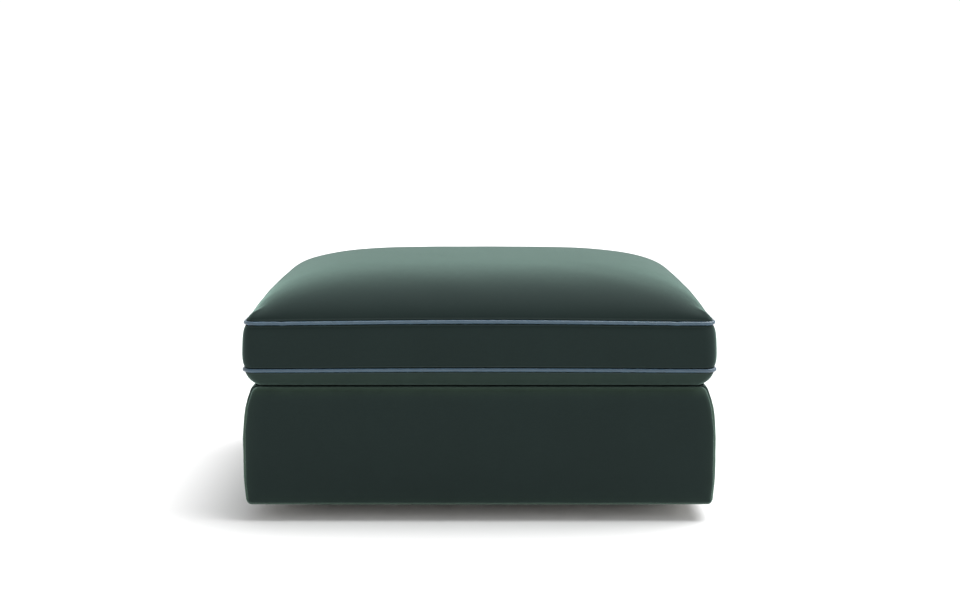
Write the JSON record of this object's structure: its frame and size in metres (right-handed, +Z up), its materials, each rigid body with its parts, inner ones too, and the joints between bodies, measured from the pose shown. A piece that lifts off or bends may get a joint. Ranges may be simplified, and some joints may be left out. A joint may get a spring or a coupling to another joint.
{
  "type": "upholstered footstool",
  "caption": "Wide, low velvet footstool: a padded rectangular base on low feet with a loose, crowned box cushion edged in contrast piping.",
  "frame": {"origin": "on the floor, under the middle of the stool", "axes": "+X to the right seen from the front, along the longer side; -Y towards the front; +Z up"},
  "size_m": [0.9548, 0.808, 0.4954],
  "materials": {
    "velvet": "dark green cotton velvet with a soft brushed nap",
    "piping_cloth": "steel blue bias-cut cotton over cord",
    "foot_plastic": "matte black moulded plastic"
  },
  "bodies": {
    "root": {"cushion": "velvet", "piping_upper": "piping_cloth", "piping_lower": "piping_cloth", "base_wrap": "velvet", "base_front_panel": "velvet", "base_back_panel": "velvet", "foot_front_left": "foot_plastic", "foot_front_right": "foot_plastic", "foot_back_left": "foot_plastic", "foot_back_right": "foot_plastic"}
  },
  "joints": []
}
